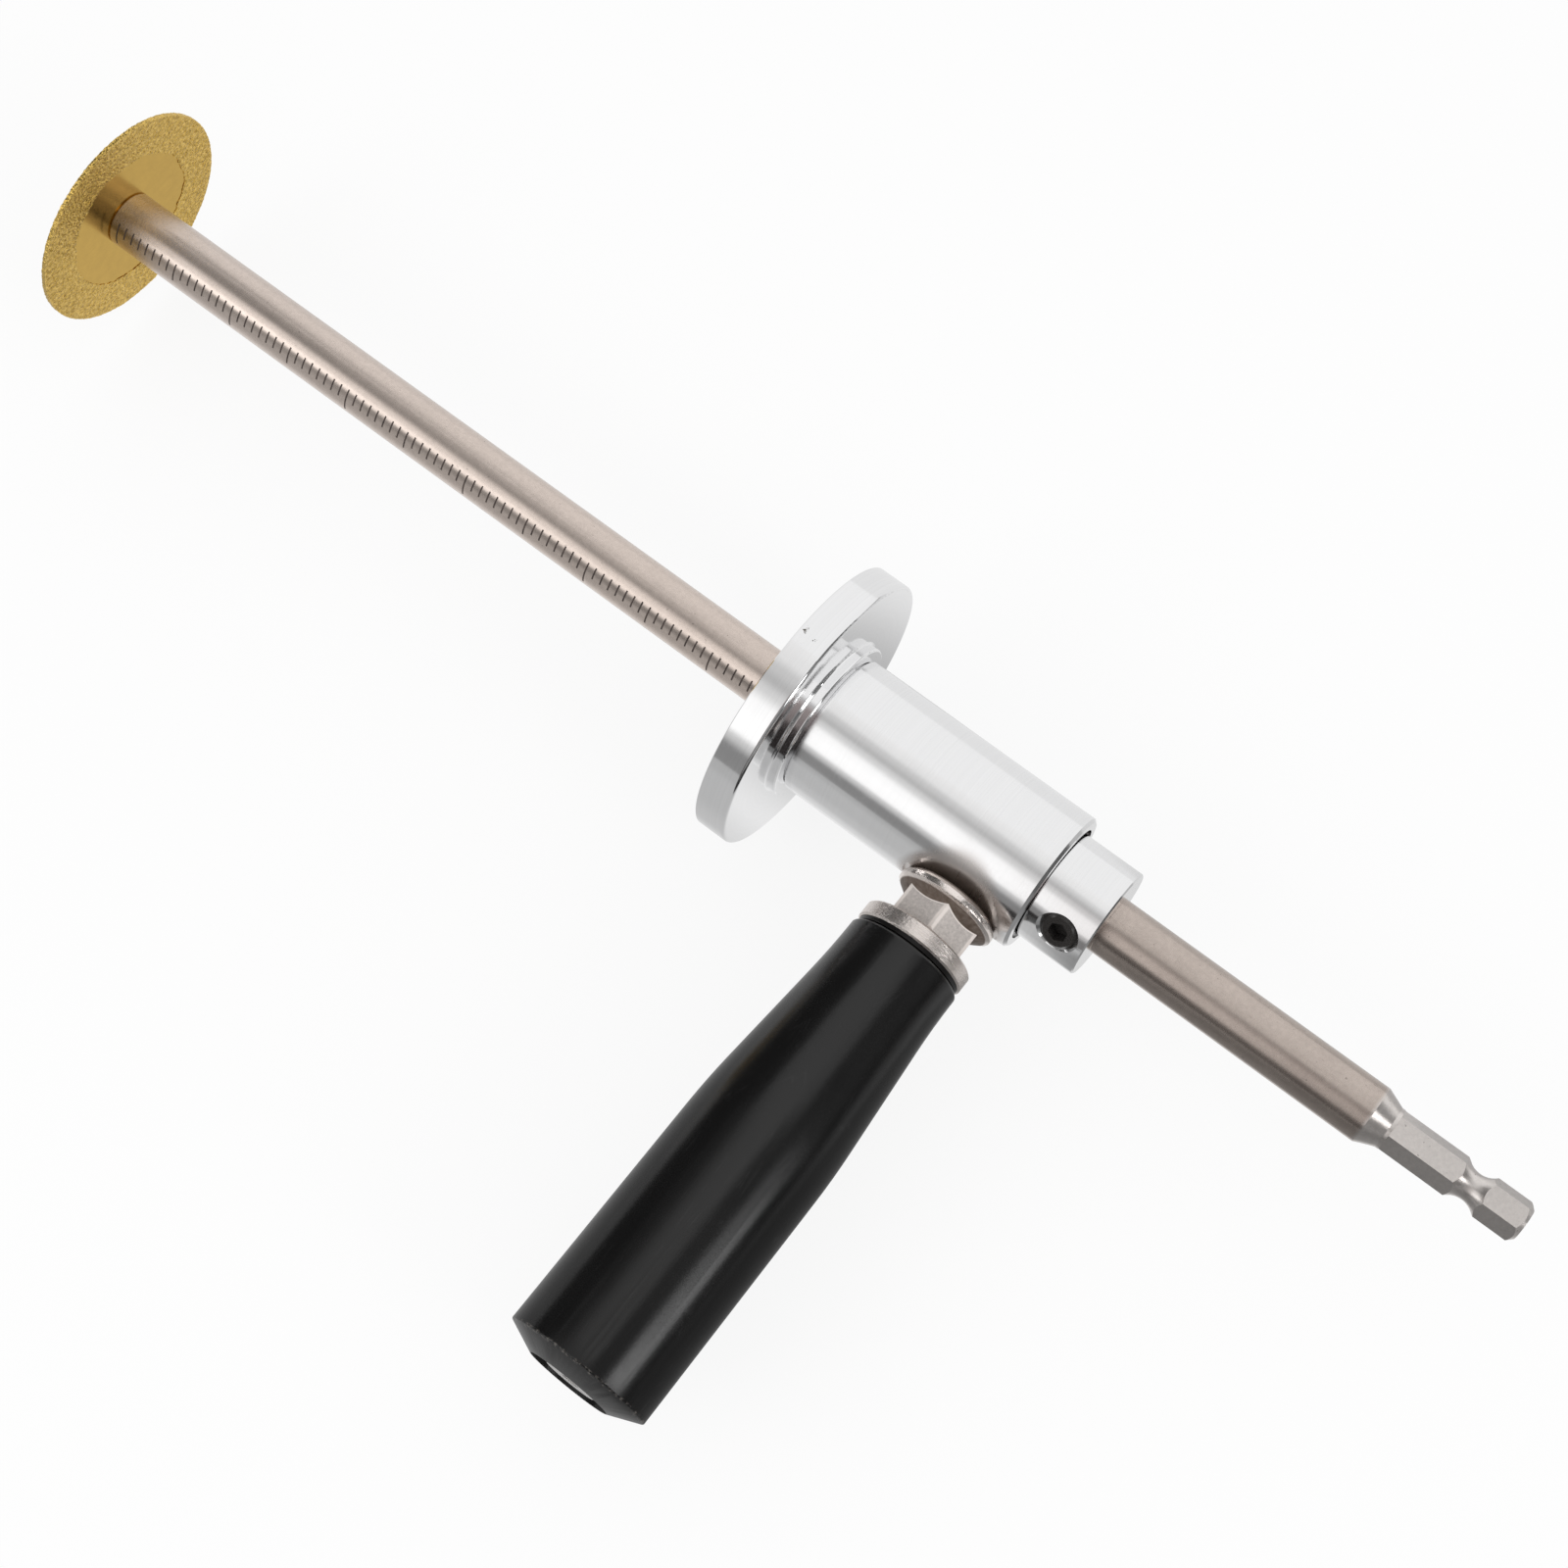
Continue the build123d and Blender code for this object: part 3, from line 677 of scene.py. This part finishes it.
def cove_paper():
    """Backdrop for the metal, whose level goes by the angle about the shaft and the place along it."""
    material, tree, _ = new_material("cove_paper")
    metres = node(tree, "ShaderNodeTexCoord").outputs["Object"]
    place = node(tree, "ShaderNodeSeparateXYZ", {"Vector": metres}).outputs
    angle = maths(tree, "DEGREES", maths(tree, "ARCTAN2", place["Z"], place["Y"]))
    far_share = ramp(tree, place["X"], FAR_SHARE)
    beyond = soft_step(tree, place["X"], *END_CHANGE)
    middle, front = ramp(tree, angle, COVE_MIDDLE), ramp(tree, angle, COVE_FRONT)
    level = blend_levels(tree, ramp(tree, place["X"], FRONT_SHARE), middle, front)
    level = blend_levels(tree, far_share, level, ramp(tree, angle, COVE_FAR))
    level = blend_levels(tree, beyond, level, END_LEVEL)
    brown = maths(tree, "MULTIPLY", far_share, soft_step(tree, angle, *FAR_TINT_CHANGE))
    brown = maths(tree, "MULTIPLY", brown, maths(tree, "SUBTRACT", 1.0, beyond))
    tint = blend_colours(tree, brown, COVE_TINT, FAR_TINT)
    tree.links.new(glow(tree, tint, level), tree.nodes["Material Output"].inputs["Surface"])
    return material


def paint(name, material):
    """Give a CAD node its material and keep its mesh as it is."""
    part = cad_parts[name]
    for slot in part.material_slots:
        slot.link = "OBJECT"
        slot.material = material


def finish_piece(name, mesh, material, body, replaced=()):
    """Turn a modelled mesh into a piece that rides on its body and may replace CAD nodes."""
    bmesh.ops.recalc_face_normals(mesh, faces=mesh.faces)
    data = bpy.data.meshes.new(name)
    mesh.to_mesh(data)
    mesh.free()
    data.materials.append(material)
    data.shade_smooth()
    data.set_sharp_from_angle(angle=math.radians(32))
    piece = bpy.data.objects.new(name, data)
    bpy.context.scene.collection.objects.link(piece)
    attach(piece, body)
    if replaced:
        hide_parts(*replaced)


def around_shaft(station, radius, angle):
    """Point on the shaft from its station, radius and angle from +Y towards +Z."""
    return Vector((station, radius * math.cos(angle), radius * math.sin(angle)))


def merged_copy(name):
    """Merged copy of a CAD node's mesh, its flat faces whole again."""
    mesh = bmesh.new()
    mesh.from_mesh(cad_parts[name].data)
    bmesh.ops.remove_doubles(mesh, verts=mesh.verts, dist=0.001 * MM)
    bmesh.ops.dissolve_limit(
        mesh, angle_limit=math.radians(0.5), verts=mesh.verts, edges=mesh.edges,
        use_dissolve_boundaries=False,
    )
    return mesh


def soften_edges(mesh, width, least_angle, segments=2):
    """Bevel every edge that is sharper than an angle."""
    sharp = [e for e in mesh.edges if len(e.link_faces) == 2 and e.calc_face_angle() > least_angle]
    bmesh.ops.bevel(
        mesh, geom=sharp, offset=width, offset_type="OFFSET", affect="EDGES", segments=segments, profile=0.5,
        material=-1, clamp_overlap=True,
    )


class PIPECUTTER_OT_finish_housing(bpy.types.Operator):
    """Turned aluminium of the flange, sleeve and lock collar"""

    bl_idname = "pipe_cutter.finish_housing"
    bl_label = "Finish Housing"

    def execute(self, context):
        colour = context.scene.metal_colours.aluminium
        lines = {"line_depth": 3e-7, "line_scale": 3.2}
        flange = turned_metal(
            "flange_aluminium", colour, roughness=0.075, scratch_depth=1.2e-6, shade=knocked_rim, **lines
        )
        sleeve = turned_metal(
            "sleeve_aluminium", colour, roughness=0.12, scratch_depth=1.5e-6, shade=seat_shadow, **lines
        )
        collar = turned_metal("collar_aluminium", colour, roughness=0.1, scratch_depth=1.2e-6, **lines)
        paint("stop_flange", flange)
        paint("sleeve", sleeve)
        paint("lock_collar", collar)
        return {"FINISHED"}


class PIPECUTTER_OT_finish_shaft(bpy.types.Operator):
    """Satin ground steel of the shaft"""

    bl_idname = "pipe_cutter.finish_shaft"
    bl_label = "Finish Shaft"

    def execute(self, context):
        colours = context.scene.metal_colours
        paint("shaft", shaft_steel(colours.shaft, colours.drive))
        return {"FINISHED"}


class PIPECUTTER_OT_finish_handle(bpy.types.Operator):
    """Plated spindle, black thrust washer and moulded grip"""

    bl_idname = "pipe_cutter.finish_handle"
    bl_label = "Finish Handle"

    plate_share = 1.12
    washer_share = 0.25
    washer_shine = 0.2
    edge_width = 0.16 * MM
    edge_steps = 3

    def execute(self, context):
        colours = context.scene.metal_colours
        plate = turned_metal(
            "nickel_plate", rgba(colours.nickel, self.plate_share), roughness=0.26, scratch_depth=4e-6,
            grain_depth=7e-5, on_handle=True,
        )
        paint("handle_spindle", plate)
        washer_colour = rgba(colours.black_steel, self.washer_share)
        paint("thrust_washer", black_oxide("washer_oxide", washer_colour, self.washer_shine))
        mesh = merged_copy("grip")
        soften_edges(mesh, self.edge_width, math.radians(20), self.edge_steps)
        moulding = grip_moulding(context.scene.grip_plastic)
        finish_piece("moulded_grip", mesh, moulding, "handle_grip", ["grip"])
        return {"FINISHED"}


class PIPECUTTER_OT_finish_hardware(bpy.types.Operator):
    """Screws, washers, retaining ring and bearings"""

    bl_idname = "pipe_cutter.finish_hardware"
    bl_label = "Finish Hardware"

    screw_share = 1.3

    def execute(self, context):
        colours = context.scene.metal_colours
        steel = turned_metal("bright_steel", colours.bright_steel, roughness=0.2)
        for name in ("disc_washer", "spring_washer", "disc_screw", "front_shield", "rear_shield"):
            paint(name, steel)
        screw_colour = rgba(colours.bright_steel, self.screw_share)
        handle_steel = turned_metal("handle_steel", screw_colour, roughness=0.35, on_handle=True)
        for name in ("end_washer", "end_screw"):
            paint(name, handle_steel)
        race_steel = turned_metal(
            "bearing_steel", colours.bright_steel, roughness=0.1, line_depth=8e-7, line_scale=5.0,
            scratch_depth=1e-6,
        )
        for end in ("front", "rear"):
            for part in ("outer_race", "inner_race", "balls"):
                paint(f"{end}_{part}", race_steel)
        brass = turned_metal("cage_brass", colours.brass, roughness=0.25)
        paint("front_cage", brass)
        paint("rear_cage", brass)
        oxide = black_oxide("black_oxide", colours.black_steel)
        paint("retaining_ring", oxide)
        paint("set_screw", oxide)
        return {"FINISHED"}


class PIPECUTTER_OT_graduate_shaft(bpy.types.Operator):
    """Short, medium and long marks along the shaft"""

    bl_idname = "pipe_cutter.graduate_shaft"
    bl_label = "Graduate Shaft"

    sunk = 0.02 * MM
    proud = 0.008 * MM
    steps = 6

    def strip(self, mesh, station, width, start, end):
        """Curved strip that hugs the shaft between two angles."""
        low, high = SHAFT_RADIUS - self.sunk, SHAFT_RADIUS + self.proud
        corners = ((-0.5, low), (0.5, low), (0.5, high), (-0.5, high))
        points = [around_shaft(station + side * width, radius, start) for side, radius in corners]
        face = mesh.faces.new([mesh.verts.new(point) for point in points])
        bmesh.ops.spin(
            mesh, geom=[face], cent=(0, 0, 0), axis=(1, 0, 0), angle=end - start, steps=self.steps,
            use_merge=False,
        )

    def execute(self, context):
        marks = context.scene.scale_marks
        mesh = bmesh.new()
        for number in range(marks.count):
            end = marks.short_angle
            if number % 16 == 0:
                end = marks.long_angle
            elif number % 8 == 0:
                end = marks.medium_angle
            self.strip(mesh, marks.first + number * marks.pitch, marks.width, marks.start_angle, end)
        finish_piece("graduations", mesh, mark_ink(marks.colour), "cutter")
        return {"FINISHED"}


class PIPECUTTER_OT_coat_disc(bpy.types.Operator):
    """Gold centre of the disc and the grit round it"""

    bl_idname = "pipe_cutter.coat_disc"
    bl_label = "Coat Disc"

    steps = 620
    rows = 44
    edge_rows = 6
    edge = 0.3 * MM
    core_play = 0.01 * MM
    rim_play = 0.1 * MM
    clump_seed = 7

    def section(self, inner):
        """Corners of the coat's half section, as station and radius: front, rim, back, side of the core."""
        front, back, rim = COAT_FACE, COAT_BACK, DISC_RADIUS
        across = [inner + (rim - inner) * row / self.rows for row in range(self.rows + 1)]
        points = [(front, radius) for radius in across]
        points += [(front + (back - front) * row / self.edge_rows, rim) for row in range(1, self.edge_rows)]
        points += [(back, radius) for radius in reversed(across)]
        points += [(DISC_BACK, inner), (DISC_BACK, rim - self.edge)]
        points += [(DISC_FACE, rim - self.edge), (DISC_FACE, inner)]
        return points

    def on_core(self, place, radius):
        """Whether a place is on the side of the coat that lies on the core."""
        low, high = DISC_BACK - self.core_play, DISC_FACE + self.core_play
        return low < place.x < high and radius < DISC_RADIUS - self.rim_play

    def edge_shift(self, place, radius, inner):
        """Unevenness of the inner edge, which fades out towards the rim."""
        inward = max(0.0, 1 - (radius - inner) / (DISC_RADIUS - self.edge - inner))
        outward = Vector((0, place.y, place.z)).normalized()
        wobble = 0.7 * noise.noise(outward * 2.1) + 0.3 * noise.noise(outward * 12)
        return outward * inward * wobble * MM

    def grain_height(self, place):
        """Height of the clumped grains, as a share of the relief, at a place counted in grains."""
        clump = place + 0.6 * noise.noise_vector(place * 0.8)
        nearest = noise.voronoi(clump)[0][0]
        return 0.6 - nearest + 0.45 * noise.noise(place * 2.3)

    def execute(self, context):
        coat = context.scene.grit_coat
        mesh = bmesh.new()
        verts = [mesh.verts.new((station, 0, radius)) for station, radius in self.section(coat.inner_radius)]
        edges = [mesh.edges.new(pair) for pair in zip(verts, verts[1:] + verts[:1])]
        bmesh.ops.spin(
            mesh, geom=verts + edges, cent=(0, 0, 0), axis=(1, 0, 0), angle=math.tau, steps=self.steps,
            use_merge=True,
        )
        bmesh.ops.recalc_face_normals(mesh, faces=mesh.faces)
        mesh.normal_update()
        # Vector noise starts from a random place in each session unless it is given a seed
        noise.seed_set(self.clump_seed)
        shifts = []
        for vert in mesh.verts:
            radius = math.hypot(vert.co.y, vert.co.z)
            shift = self.edge_shift(vert.co, radius, coat.inner_radius)
            if not self.on_core(vert.co, radius):
                shift += vert.normal * self.grain_height(vert.co / coat.grain) * coat.relief
            shifts.append((vert, shift))
        for vert, shift in shifts:
            vert.co += shift
        finish_piece("grit_coat", mesh, grit_braze(coat), "cutter", ["abrasive_rim"])
        paint("disc_core", gold_plate(context.scene.metal_colours.gold))
        return {"FINISHED"}


class PIPECUTTER_OT_finish_nut(bpy.types.Operator):
    """Flange nut with softened edges and a knocked rim"""

    bl_idname = "pipe_cutter.finish_nut"
    bl_label = "Finish Nut"

    edge_width = 0.14 * MM
    rim_radius = 8.6 * MM
    dent = 0.16 * MM
    coarse_knocks = 700
    fine_knocks = 1900
    lifts = 900

    def execute(self, context):
        mesh = merged_copy("flange_nut")
        soften_edges(mesh, self.edge_width, math.radians(25))
        for vert in mesh.verts:
            away = Vector((vert.co.x - HANDLE_PLACE, 0, vert.co.z))
            if away.length > self.rim_radius:
                knock = noise.noise(vert.co * self.coarse_knocks)
                knock += 0.5 * noise.noise(vert.co * self.fine_knocks)
                vert.co -= away.normalized() * self.dent * max(0.0, knock)
                vert.co.y += self.dent * 0.5 * noise.noise(vert.co * self.lifts)
        colour = context.scene.metal_colours.nickel
        finish_piece("knocked_nut", mesh, nut_plate(colour), "housing", ["flange_nut"])
        return {"FINISHED"}


class PIPECUTTER_OT_set_studio(bpy.types.Operator):
    """Camera, floor, even light, two softboxes, and the cove and cards that show only in the gloss"""

    bl_idname = "pipe_cutter.set_studio"
    bl_label = "Set Studio"

    camera_place = Vector((101.28, -138.81, 427.31)) * MM
    camera_turn = (20.1328, -0.4977, 37.7699)
    floor_reach = 6.0
    cove_steps = 96
    cards = (
        ("left_card", -1.3, (-0.7, 1.2), (0.1, 2.15), 0.08),
        ("right_card", 1.3, (-0.9, 1.0), (-0.02, 0.3), 0.1),
        ("end_card", 1.3, (-0.9, 1.2), (0.3, 2.2), 0.2),
    )

    def add_camera(self, scene):
        """Camera at the photograph's viewpoint."""
        data = bpy.data.cameras.new("camera")
        data.lens = scene.studio.lens
        data.sensor_width = 36
        data.clip_start = 0.01
        camera = bpy.data.objects.new("camera", data)
        camera.location = self.camera_place
        camera.rotation_euler = [math.radians(turn) for turn in self.camera_turn]
        scene.collection.objects.link(camera)
        scene.camera = camera

    def add_lamp(self, name, place, aim, size, power, in_metal):
        """Soft rectangular lamp, which may be kept out of the metal."""
        data = bpy.data.lights.new(name, "AREA")
        data.shape = "RECTANGLE"
        data.size, data.size_y = size
        data.energy = power
        lamp = bpy.data.objects.new(name, data)
        lamp.location = place
        lamp.rotation_euler = (Vector(place) - Vector(aim)).to_track_quat("Z", "X").to_euler()
        lamp.visible_camera = False
        lamp.visible_glossy = in_metal
        bpy.context.scene.collection.objects.link(lamp)

    def add_backdrop(self, name, mesh, material):
        """Piece of the studio that shows only in the gloss."""
        data = bpy.data.meshes.new(name)
        mesh.to_mesh(data)
        mesh.free()
        data.materials.append(material)
        backdrop = bpy.data.objects.new(name, data)
        backdrop.visible_camera = backdrop.visible_diffuse = backdrop.visible_shadow = False
        bpy.context.scene.collection.objects.link(backdrop)

    def add_card(self, name, station, across, up, strength):
        """Upright card of one level, square to the shaft, from its reach across and up."""
        mesh = bmesh.new()
        low, high = up
        corners = ((across[0], low), (across[1], low), (across[1], high), (across[0], high))
        mesh.faces.new([mesh.verts.new((station, side, height)) for side, height in corners])
        material, tree, _ = new_material(name)
        tree.links.new(glow(tree, WHITE, strength), tree.nodes["Material Output"].inputs["Surface"])
        self.add_backdrop(name, mesh, material)

    def add_cove(self):
        """Curved backdrop from overhead down to the horizon on the handle's side."""
        mesh = bmesh.new()
        start = math.radians(COVE_MIDDLE[0][0])
        ends = [mesh.verts.new(around_shaft(end, COVE_RADIUS, start)) for end in COVE_ENDS]
        bmesh.ops.spin(
            mesh, geom=ends + [mesh.edges.new(ends)], cent=(0, 0, 0), axis=(1, 0, 0),
            angle=math.pi - start, steps=self.cove_steps, use_merge=False,
        )
        self.add_backdrop("cove", mesh, cove_paper())

    def add_floor(self, colour):
        """Large level floor under the object."""
        mesh = bmesh.new()
        bmesh.ops.create_grid(mesh, x_segments=1, y_segments=1, size=self.floor_reach)
        bmesh.ops.translate(mesh, verts=mesh.verts, vec=(0, 0, FLOOR_HEIGHT))
        data = bpy.data.meshes.new("floor")
        mesh.to_mesh(data)
        mesh.free()
        data.materials.append(floor_paper(colour))
        floor = bpy.data.objects.new("floor", data)
        bpy.context.scene.collection.objects.link(floor)

    def add_daylight(self, strength):
        """Even light all round, plain white to the camera and through glass."""
        world = bpy.data.worlds.new("daylight")
        world.use_nodes = True
        tree = world.node_tree
        path = node(tree, "ShaderNodeLightPath").outputs
        seen = maths(tree, "MAXIMUM", path["Is Camera Ray"], path["Is Transmission Ray"])
        level = node(
            tree, "ShaderNodeMapRange", {"Value": seen, "To Min": strength, "To Max": 1.0}
        ).outputs["Result"]
        tree.links.new(level, tree.nodes["Background"].inputs["Strength"])
        tree.nodes["Background"].inputs["Color"].default_value = WHITE
        bpy.context.scene.world = world

    def execute(self, context):
        scene = context.scene
        studio = scene.studio
        scene.view_settings.view_transform = "Standard"
        self.add_camera(scene)
        self.add_floor(studio.floor_colour)
        self.add_daylight(studio.daylight)
        self.add_lamp(
            "top_softbox", place=(-0.36, -0.73, 0.68), aim=(0, 0, 0), size=(0.46, 0.56),
            power=studio.top_lamp, in_metal=False,
        )
        self.add_lamp(
            "side_softbox", place=(0.94, -0.08, 0.52), aim=(0.04, -0.08, 0), size=(0.5, 0.32),
            power=studio.side_lamp, in_metal=True,
        )
        self.add_cove()
        for card in self.cards:
            self.add_card(*card)
        return {"FINISHED"}


class PIPECUTTER_PT_panel(bpy.types.Panel):
    """Sidebar panel with every step"""

    bl_idname = "PIPECUTTER_PT_panel"
    bl_label = "Pipe Cutter"
    bl_space_type = "VIEW_3D"
    bl_region_type = "UI"
    bl_category = "Pipe Cutter"

    def draw(self, context):
        for group in SETTINGS:
            box = self.layout.box()
            settings = getattr(context.scene, group)
            for name in settings.__annotations__:
                box.prop(settings, name)
        for step in STEPS:
            self.layout.operator(step.bl_idname)


SETTINGS = {
    "scale_marks": ScaleMarks,
    "grit_coat": GritCoat,
    "metal_colours": MetalColours,
    "grip_plastic": GripPlastic,
    "studio": Studio,
}

STEPS = (
    PIPECUTTER_OT_finish_housing,
    PIPECUTTER_OT_finish_shaft,
    PIPECUTTER_OT_finish_handle,
    PIPECUTTER_OT_finish_hardware,
    PIPECUTTER_OT_graduate_shaft,
    PIPECUTTER_OT_coat_disc,
    PIPECUTTER_OT_finish_nut,
    PIPECUTTER_OT_set_studio,
)


def register():
    for group, kind in SETTINGS.items():
        bpy.utils.register_class(kind)
        setattr(bpy.types.Scene, group, bpy.props.PointerProperty(type=kind))
    for step in STEPS:
        bpy.utils.register_class(step)
    bpy.utils.register_class(PIPECUTTER_PT_panel)


def unregister():
    bpy.utils.unregister_class(PIPECUTTER_PT_panel)
    for step in reversed(STEPS):
        bpy.utils.unregister_class(step)
    for group, kind in SETTINGS.items():
        delattr(bpy.types.Scene, group)
        bpy.utils.unregister_class(kind)


def main():
    register()
    bpy.ops.pipe_cutter.finish_housing()
    bpy.ops.pipe_cutter.finish_shaft()
    bpy.ops.pipe_cutter.finish_handle()
    bpy.ops.pipe_cutter.finish_hardware()
    bpy.ops.pipe_cutter.graduate_shaft()
    bpy.ops.pipe_cutter.coat_disc()
    bpy.ops.pipe_cutter.finish_nut()
    bpy.ops.pipe_cutter.set_studio()


if __name__ == "__main__":
    main()
